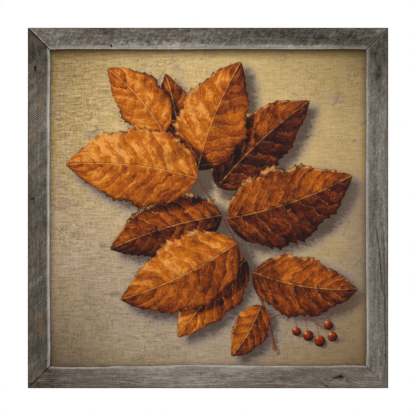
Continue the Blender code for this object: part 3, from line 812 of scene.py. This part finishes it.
def opened_wood(side, along, across, front):
    """How far each place is into a crack or a nail hole, and the tone and height there."""
    opened, tone, height = 0.0, 0.0, 0.0
    for start, end, width, deep in CRACKS[side]:
        groove = front * crack_groove(np.array(start) * MM, np.array(end) * MM, width * MM, along, across)
        opened = np.maximum(opened, groove)
        tone = tone - 1.1 * groove
        height = height - deep * MM * groove
    for at, over, radius in NAIL_HOLES[side]:
        off = np.hypot(along - at * MM, across - over * MM)
        pit = front * ease(off, radius * MM * 1.25, radius * MM * 0.6)
        opened = np.maximum(opened, pit)
        tone = tone - 1.6 * pit
        height = height - NAIL_HOLE_DEPTH * pit
    return opened, tone, height


def worn_lip(side, along, across, from_edge):
    """How worn each place is: most at the inner edge, and less towards the board's ends."""
    lip = LIP_WEAR[side]
    line = ease(from_edge, *LIP_LINE)
    worn = lip.broad * ease(from_edge, lip.fades, lip.full) + (1 - lip.broad) * line
    worn = worn * (1 - lip.low_loss * ease(-along, 0.16, 0.26) - lip.high_loss * ease(along, 0.16, 0.26))
    return lip.strength * worn * (0.90 + 0.25 * rough_noise(along / 0.030, across / 0.004, 73))


def weather_board(side, mesh):
    """Moves a board's vertices into their marks and cuts its mitres, and stores what the material reads."""
    places = read_places(mesh)
    outward, depth, share = places.T.copy()
    normals = np.empty(len(mesh.vertices) * 3)
    mesh.vertex_normals.foreach_get("vector", normals)
    normals = normals.reshape(-1, 3)

    from_face = depth - FACE_Y
    across = outward - SIGHT + from_face
    front = ease(-normals[:, 1], 0.2, 0.7)
    reverse = -1.0 if side in ("left", "top") else 1.0
    along = reverse * share * outward

    tone, height = GRAINS[side](along, across)
    opened, open_tone, open_height = opened_wood(side, along, across, front)
    tone = tone + 0.10 * rough_noise(along / 0.012, across / 0.006, 53)
    tone = tone + stained(side, along, across) + open_tone
    # Painted shade and grime along the eased outer edge: a dark line where the rounded arris turns away from
    # the light.
    edge_shade_and_grime = ease(outward, OUTER - 0.0026, OUTER - 0.0004) * ease(from_face, 0.0050, 0.0014)
    to_mitre = (outward - np.abs(along)) / math.sqrt(2)
    at_mitre = hill(to_mitre, 0.0, MITRE_HALF)
    dirt = np.where(along < 0, *MITRE_DIRT[side])
    tone = tone - 0.95 * edge_shade_and_grime - dirt * at_mitre
    if side == "top":
        tone = tone + 0.9 * hill(to_mitre, 0.0022, 0.0009) * (along < 0)
    if side == "right":
        tone = tone + 0.5 * hill(to_mitre, 0.0018, 0.0009) * (along > 0)
    height = height + open_height - 0.00018 * dirt * at_mitre

    bends = np.array(EDGE_BENDS[side]) * MM
    stray = np.interp(along, bends[:, 0], bends[:, 1]) + 0.00018 * rough_noise(along / 0.012, along * 0.0, 61)
    inner = ease(RABBET - outward, 0.0, 0.0040)
    places[:, 0] = np.minimum(outward + normals[:, 0] * height + inner * stray, OUTER)
    waved = depth + normals[:, 1] * height + 0.00010 * front * rough_noise(along / 0.05, across / 0.02, 71)
    places[:, 1] = np.maximum(waved, FACE_Y)
    places[:, 2] = share * places[:, 0]
    write_places(mesh, places)

    worn = front * worn_lip(side, along, across, places[:, 0] - SIGHT - stray)
    warm_patches = ease(rough_noise(along / 0.045, across / 0.016, 79), 0.25, 0.75)
    wear = np.clip(worn * (1 - 0.8 * at_mitre) * (1 - opened), 0.0, 1.0)
    raw = 0.9 * ease(normals[:, 1], 0.3, 0.8)
    store(mesh, tone=tone, wear=wear, warm=WARMTH[side] * warm_patches, raw=raw)
    mesh.transform(Matrix.Translation((0.0, 0.0, CENTRE_Z)) @ about_y(SIDE_TURNS[side]))


def add_boards():
    """The frame's four boards, each with its own wood."""
    woods = {
        "left": weathered_wood("sawn_grey_wood", UPRIGHT, (36, 32, 28), (89, 82, 73), (146, 139, 127),
                               lip=(184, 182, 179), grit=0.8),
        "right": weathered_wood("streaky_grey_wood", UPRIGHT, (46, 41, 36), (106, 100, 93), (160, 155, 148),
                                fibre=0.7),
        "top": weathered_wood("fuzzy_grey_wood", LEVEL, (42, 38, 34), (98, 92, 85), (156, 149, 138),
                              lip=(184, 177, 166), mottle=0.8),
        "bottom": weathered_wood("wavy_grey_wood", LEVEL, (50, 43, 37), (112, 104, 95), (166, 159, 149),
                                 fibre=0.9, grit=0.7),
    }
    for side, wood in woods.items():
        mesh = swept_board(side)
        weather_board(side, mesh)
        add_piece(f"board_{side}", mesh, [wood], [f"rail_{side}"])


def cloth_surface(x, z):
    """Depth of the cloth's front face at a place from the picture's centre, a little slack and brushed."""
    inside = ease(SIGHT - np.maximum(np.abs(x), np.abs(z)), -0.004, 0.030)
    slack = 0.00022 * smooth_noise(x / 0.110, z / 0.120, 83)
    brushed = 0.00010 * rough_noise(x / 0.022, z / 0.014, 89)
    return CLOTH_FRONT_Y + inside * (slack + brushed)


def arc_line(leaf, s):
    """Places along a leaf's midrib and its direction there. The rib is an arc of a circle."""
    bend = math.radians(leaf.bend)
    start = math.radians(leaf.heading) - bend / 2
    angle = start + bend * s
    reach = leaf.length / bend
    x = leaf.x + reach * (np.sin(angle) - math.sin(start))
    z = leaf.z - reach * (np.cos(angle) - math.cos(start))
    return x, z, angle


def smooth_line(points, s):
    """Places along a smooth curve through given points, and its direction."""
    spots = np.linspace(0.0, 1.0, len(points))
    fit_x, fit_z = [np.polynomial.Polynomial.fit(spots, run, 3) for run in np.array(points).T]
    return fit_x(s), fit_z(s), np.arctan2(fit_z.deriv()(s), fit_x.deriv()(s))


def leaf_half_width(leaf, s):
    """Half the blade's width: widest below its middle, and drawn out to a point."""
    s = np.clip(s, 0.0, 1.0)
    full = s**0.62 * (1 - s) ** 0.92
    widest = 0.403**0.62 * 0.597**0.92
    return leaf.width / 2 * full / widest + 0.00025


def patch_mesh(name, length_cells, width_cells):
    """A flat grid and its two coordinates: s from 0 to 1 along, t from -1 to 1 across."""
    shape = bmesh.new()
    bmesh.ops.create_grid(shape, x_segments=length_cells, y_segments=width_cells, size=1.0)
    stand_up(shape)
    mesh = mesh_from(shape, name)
    places = read_places(mesh)
    return mesh, (places[:, 0] + 1) / 2, places[:, 2]


def lay_paint(mesh, material, line, off, rise, layer):
    """Puts a patch on the cloth, off its line by so much and so far out from the cloth, as a closed piece."""
    x, z = line[0] - np.sin(line[2]) * off, line[1] + np.cos(line[2]) * off
    out = rise + LAYER_RISE * layer
    write_places(mesh, np.column_stack((x, cloth_surface(x, z) - out, z + CENTRE_Z)))
    thicken(add_piece(mesh.name, mesh, [material]), PAINT_RISE + LAYER_RISE * layer)
    return x, z


def shaded_by(leaves, x, z, shift=SHADOW_SHIFT, blur=SHADOW_BLUR):
    """How far each place lies in the painted shadow of the leaves, from 0 to 1."""
    shade = np.zeros_like(x)
    for leaf in leaves:
        s = np.linspace(0.04, 0.96, 24)
        rib_x, rib_z, _ = arc_line(leaf, s)
        for px, pz, half in zip(rib_x + shift[0], rib_z + shift[1], leaf_half_width(leaf, s)):
            off = np.hypot(x - px, z - pz)
            shade = np.maximum(shade, ease(half * 1.02 + blur / 2 - off, 0.0, blur))
    return shade


def shaded_by_rest(x, z):
    """The painted shadows of the stalk, the twig and the berries."""
    shade = np.zeros_like(x)
    for points, half in ((STALK, 0.0030), (TWIG, 0.0014)):
        line_x, line_z, _ = smooth_line(points, np.linspace(0.0, 1.0, 60))
        for px, pz in zip(line_x + STALK_SHIFT[0], line_z + STALK_SHIFT[1]):
            off = np.hypot(x - px, z - pz)
            shade = np.maximum(shade, 0.75 * ease(half + 0.0035 - off, 0.0, STALK_BLUR))
    for berry in BERRIES:
        off = np.hypot(x - berry.x - BERRY_SHIFT[0], z - berry.z - BERRY_SHIFT[1])
        shade = np.maximum(shade, 0.9 * ease(berry.radius + 0.003 - off, 0.0, BERRY_BLUR))
    return shade


def add_leaf(number, leaf, material):
    """One painted leaf: a thin raised patch with waved, toothed edges and a rib."""
    mesh, s, t = patch_mesh(f"painted_leaf_{number}", round(leaf.length / PAINT_CELL), 26)
    line = arc_line(leaf, s)
    side = np.sign(t)
    reach = 0.21 + 0.04 * side
    phase = leaf.veins * (s - reach * np.abs(t) ** 1.15) + 0.5 * (t > 0) + 3.0
    teeth = (phase * 2.0) % 1.0
    body = ease(s, 0.05, 0.20) * ease(s, 1.0, 0.90)
    wave = 0.060 * np.sin(2 * math.pi * s * leaf.veins * 0.45 + number + 1.4 * side)
    ragged = 0.085 * rough_noise(s * leaf.veins * 0.8 + 10 * number, 5 * side, 127)
    sizes = 0.085 + 0.050 * smooth_noise(np.floor(phase * 2.0), 7 * side + number, 131)
    edge_shape = 1 + body * (sizes * (teeth**1.6 - 0.4) * np.abs(t) ** 7 + (wave + ragged) * np.abs(t) ** 3)
    off = t * leaf_half_width(leaf, s) * edge_shape

    veins = hill(phase - np.round(phase), 0.0, 0.06) * (1 - np.abs(t))
    ridge = np.maximum(hill(off, 0.0, 0.0012), 0.5 * veins)
    crown = 1 - 0.85 * np.abs(t) ** 10
    x, z = lay_paint(mesh, material, line, off, (PAINT_RISE + 0.00010 * ridge) * crown, number)

    facing = np.cos(line[2] + side * math.pi / 2 - LIGHT_FROM)
    curl = 0.22 * np.sin(2.2 * math.pi * s + 1.7 * number) * np.abs(t)
    hollow = 0.20 * (0.5 - np.abs(np.abs(t) - 0.45)) * 2 - 0.10
    tips = -0.35 * ease(s, 0.78, 1.0) - 0.30 * ease(s, 0.14, 0.0)
    cast = shaded_by(LEAVES[number:], x, z, NEAR_SHIFT, NEAR_BLUR)
    broken = 0.26 * rough_noise(x / 0.030, z / 0.022, 97 + number)
    light = leaf.light + 0.26 * facing + curl + hollow + tips + broken - 0.85 * cast
    rim = hill(np.abs(t), 0.93, 0.055) * ease(facing, -0.1, 0.7) * ease(s, 1.0, 0.92)
    store(mesh, light=light, vein=phase, rib=off, edge=np.abs(t), rim=rim, leaf=np.full_like(s, 1.7 * number))


def add_stalk(name, points, start_half, end_half, material):
    """A painted stalk along a curve, in the lowest layer of paint and lit on its upper left side."""
    mesh, s, t = patch_mesh(name, 120, 6)
    line = smooth_line(points, s)
    half = start_half + (end_half - start_half) * s + 0.0016 * ease(s, 0.05, 0.01)
    half = half * (1 + 0.14 * smooth_noise(s * 26, s * 0.0, 101))
    half = half * np.sqrt(1 - np.clip(1 - s / 0.016, 0.0, 0.98) ** 2)
    x, z = lay_paint(mesh, material, line, t * half, PAINT_RISE * (1.15 - t**2), 1)
    facing = np.cos(line[2] + np.sign(t) * math.pi / 2 - LIGHT_FROM) * np.abs(t)
    store(mesh, light=0.60 * facing - 0.5 * shaded_by(LEAVES[1:], x, z))


def add_berry(number, berry, material):
    """A painted berry: a low round dab, lit from the upper left."""
    shape = bmesh.new()
    bmesh.ops.create_uvsphere(shape, u_segments=28, v_segments=16, radius=1.0)
    stand_up(shape)
    mesh = mesh_from(shape, f"painted_berry_{number}")
    ball = read_places(mesh)
    glow = ball @ np.array(Vector((-0.50, -0.62, 0.60)).normalized())
    spread = berry.radius * (1 + 0.03 * smooth_noise(ball[:, 0] * 3 + number, ball[:, 2] * 3, 103))
    raised = CLOTH_FRONT_Y + BERRY_SINK - BERRY_RISE * np.maximum(-ball[:, 1], 0.0)
    write_places(mesh, np.column_stack((berry.x + spread * ball[:, 0], raised + 0.00005 * ball[:, 1],
                                        berry.z + CENTRE_Z + spread * ball[:, 2])))
    store(mesh, light=1.15 * glow - 0.45 + 0.7 * ease(glow, 0.93, 0.99))
    add_piece(mesh.name, mesh, [material])


def berry_stalk(berry):
    """Points from the fork to the berry, along a line that bows a little to the right."""
    shares = (0.0, 0.25, 0.5, 0.75, 1.0)
    return [(berry.fork_x + (berry.x - berry.fork_x) * t + 0.004 * t * (1 - t),
             berry.fork_z + (berry.z - berry.fork_z) * t) for t in shares]


def add_painting():
    """A generic spray on the cloth: a stalk, toothed oval leaves and a twig of berries."""
    leaf_colour, stem_colour, berry_colour = leaf_paint(), stem_paint(), berry_paint()
    add_stalk("painted_stalk", STALK, 0.0030, 0.0012, stem_colour)
    add_stalk("painted_twig", TWIG, 0.0012, 0.0007, stem_colour)
    for number, leaf in enumerate(LEAVES, 1):
        add_leaf(number, leaf, leaf_colour)
    for number, berry in enumerate(BERRIES, 1):
        add_stalk(f"painted_berry_stalk_{number}", berry_stalk(berry), 0.0008, 0.0006, stem_colour)
        add_berry(number, berry, berry_colour)


def cloth_rings():
    """Half side and depth of each ring of the sheet, from its front's edge round to its turnback's."""
    flat_half = CLOTH_HALF - CLOTH_FOLD
    front, back = CLOTH_FRONT_Y + CLOTH_FOLD, CLOTH_BACK_Y - CLOTH_FOLD
    bends = [(CLOTH_FOLD * math.sin(angle), CLOTH_FOLD * math.cos(angle))
             for angle in (math.radians(30), math.radians(60), math.radians(90))]
    rings = [(flat_half + sine, front - cosine) for sine, cosine in bends]
    rings += [(CLOTH_HALF, front + (back - front) * k / 3) for k in (1, 2, 3)]
    rings += [(flat_half + cosine, back + sine) for sine, cosine in bends]
    return rings + [(flat_half - TURNBACK * k / 8, CLOTH_BACK_Y) for k in range(1, 9)]


def cloth_shell():
    """The cloth as one open sheet: a fine front, rolled over the bars and turned back behind them."""
    shape = bmesh.new()
    half = CLOTH_HALF - CLOTH_FOLD
    bmesh.ops.create_grid(shape, x_segments=CLOTH_CELLS, y_segments=CLOTH_CELLS, size=half)
    stand_up(shape)
    bmesh.ops.translate(shape, verts=shape.verts, vec=(0.0, CLOTH_FRONT_Y, 0.0))
    for ring_half, ring_y in cloth_rings():
        verts = verts_in(bmesh.ops.extrude_edge_only(shape, edges=open_edges(shape))["geom"])
        bmesh.ops.scale(shape, verts=verts, vec=(ring_half / half, 1.0, ring_half / half))
        for vert in verts:
            vert.co.y = ring_y
        half = ring_half
    bmesh.ops.recalc_face_normals(shape, faces=shape.faces)
    front_face = min(shape.faces, key=lambda face: face.calc_center_median().length)
    if front_face.normal.y > 0:
        bmesh.ops.reverse_faces(shape, faces=shape.faces)
    for face in shape.faces:
        face.material_index = 0 if face.calc_center_median().y < CLOTH_FRONT_Y + CLOTH_FOLD else 2
    return mesh_from(shape, "canvas_cloth")


def add_cloth():
    """The painted canvas, with its turnback, folded corners and staples."""
    mesh = cloth_shell()
    x, y, z = read_places(mesh).T
    is_front = y < CLOTH_FRONT_Y + 1e-6
    reach = np.maximum(np.abs(x), np.abs(z))
    run = np.where(np.abs(x) > np.abs(z), z, x)
    behind = ease(y, CLOTH_BACK_Y - 0.0003, CLOTH_BACK_Y)
    towards_edge = behind * ease(CLOTH_HALF - reach, 0.004, TURNBACK)
    frayed = 0.0012 * smooth_noise(run / 0.012, run * 0.0, 107) * ease(towards_edge, 0.85, 1.0)
    puckers = 0.00035 * np.abs(smooth_noise(run / 0.018, run * 0.0, 109)) * towards_edge
    grow = 1 + frayed / np.maximum(reach, 0.01)
    depth = np.where(is_front, cloth_surface(x, z), y + puckers)
    write_places(mesh, np.column_stack((x * grow, depth, z * grow + CENTRE_Z)))
    cast = np.maximum(shaded_by(LEAVES, x, z), shaded_by_rest(x, z))
    store(mesh, shadow=np.where(is_front, cast, 0.0))
    primer, cotton = primed_cloth(), raw_cotton()
    cloth = add_piece("canvas_cloth", mesh, [ground_paint(), cotton, primer, cotton],
                      ["canvas"])
    thicken(cloth, CLOTH_THICK, 1)
    folds = add_corner_folds(primer)
    add_staples()


def add_corner_folds(material):
    """The cloth doubled over itself at each back corner, one soft triangle a corner."""
    shape = bmesh.new()
    near, far = CLOTH_HALF - 0.0012, CLOTH_HALF - 0.0300
    for turn in range(4):
        flat = [(near, near), (near, far - 0.020), (far + 0.004, far + 0.002)]
        verts = [shape.verts.new(about_y(90 * turn) @ Vector((x, CLOTH_BACK_Y + 0.0009, z))) for x, z in flat]
        face = shape.faces.new(verts)
        bmesh.ops.subdivide_edges(shape, edges=face.edges[:], cuts=9, use_grid_fill=True)
    bmesh.ops.recalc_face_normals(shape, faces=shape.faces)
    for face in shape.faces:
        if face.normal.y < 0:
            face.normal_flip()
    mesh = mesh_from(shape, "corner_folds")
    places = read_places(mesh)
    places[:, 1] += 0.00025 * smooth_noise(places[:, 0] / 0.012, places[:, 2] / 0.012, 113)
    places[:, 2] += CENTRE_Z
    write_places(mesh, places)
    folds = add_piece("corner_folds", mesh, [material])
    thicken(folds, CLOTH_THICK)
    return folds


def add_staples():
    """Wire staples along the turnback, driven a little askew."""
    shape = bmesh.new()
    rng = np.random.default_rng(11)
    size = Matrix.Diagonal((STAPLE_WIRE, STAPLE_WIRE * 1.3, STAPLE_CROWN, 1.0))
    for side_turn in SIDE_TURNS.values():
        for k in range(STAPLES_A_SIDE):
            run = (k - (STAPLES_A_SIDE - 1) / 2) * STAPLE_PITCH + rng.uniform(-0.002, 0.002)
            skew = about_y(rng.uniform(-14, 14))
            inward = CLOTH_HALF - STAPLE_INSET + rng.uniform(-0.001, 0.001)
            spot = Matrix.Translation((inward, CLOTH_BACK_Y + 0.0003, run))
            made = bmesh.ops.create_cube(shape, size=1.0, matrix=about_y(side_turn) @ spot @ skew @ size)
            edges = list({edge for vert in made["verts"] for edge in vert.link_edges})
            bmesh.ops.bevel(shape, geom=edges, offset=0.00018, segments=2, profile=0.5, affect="EDGES",
                            material=-1)
    lift(shape, CENTRE_Z)
    wire = bright_metal("staple_wire", (176, 174, 170), 0.3, 400)
    add_piece("cloth_staples", mesh_from(shape, "cloth_staples"), [wire])


def finish_fittings():
    """Better finishes on the CAD nodes that stay: bars, clips, screws, nails, hanger and feet."""
    level_pine, upright_pine = planed_pine("level_pine", LEVEL), planed_pine("upright_pine", UPRIGHT)
    nail = bright_metal("nail_steel", (132, 128, 124), 0.34, 500)
    finishes = {
        "stretcher_vnail": nail, "frame_vnail": nail, "hanger_brad": nail,
        "stretcher_top": level_pine, "stretcher_bottom": level_pine,
        "stretcher_left": upright_pine, "stretcher_right": upright_pine,
        "clip_screw": bright_metal("screw_steel", (150, 146, 140), 0.30, 500),
        "clip": bright_metal("zinc_plate", (168, 168, 164), 0.36, 160),
        "sawtooth": bright_metal("hanger_plate", (176, 172, 160), 0.32, 120),
        "bumper": foot_rubber(),
    }
    for name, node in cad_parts.items():
        finish = next((finish for start, finish in finishes.items() if name.startswith(start)), None)
        if finish:
            for slot in node.material_slots:
                slot.material = finish


def add_floor():
    """A pale floor well below the picture."""
    shape = bmesh.new()
    bmesh.ops.create_grid(shape, x_segments=1, y_segments=1, size=FLOOR_HALF)
    lift(shape, CAD_LOW.z - FLOOR_DROP)
    floor = link_object("floor", mesh_from(shape, "floor"))
    pale = Finish("pale_floor", roughness=0.9)
    pale.coat((0.62, 0.62, 0.61, 1.0))
    floor.data.materials.append(pale.material)


def add_lamps():
    """One soft lamp above the viewer and one behind, both aimed at the picture's centre."""
    for name, place in LAMPS.items():
        data = bpy.data.lights.new(name, "AREA")
        data.energy = LAMP_WATTS
        data.size = LAMP_SIZE
        lamp = link_object(name, data)
        lamp.location = Vector(place) + Vector((0.0, 0.0, CENTRE_Z))
        lamp.rotation_euler = (-Vector(place)).to_track_quat("-Z", "Y").to_euler()


def add_camera():
    """Straight in front, so that the frame is as wide in the picture as in the photograph."""
    data = bpy.data.cameras.new("camera")
    data.sensor_width = SENSOR_WIDTH
    data.lens = SENSOR_WIDTH * CAMERA_DISTANCE / (2 * OUTER * PHOTO_WIDTH / FRAME_WIDTH_IN_PHOTO)
    data.clip_end = 50.0
    camera = link_object("camera", data)
    camera.location = (0.0, FACE_Y - CAMERA_DISTANCE, CENTRE_Z)
    camera.rotation_euler = (math.radians(90.0), 0.0, 0.0)
    bpy.context.scene.camera = camera


def studio():
    """White surroundings, with the floor, the lamps and the camera."""
    world = bpy.data.worlds.new("white_room")
    world.use_nodes = True
    world.node_tree.nodes["Background"].inputs["Color"].default_value = (1.0, 1.0, 1.0, 1.0)
    world.node_tree.nodes["Background"].inputs["Strength"].default_value = 1.0
    bpy.context.scene.world = world
    bpy.context.scene.view_settings.view_transform = "Standard"
    add_floor()
    add_lamps()
    add_camera()


add_boards()
add_cloth()
add_painting()
finish_fittings()
studio()
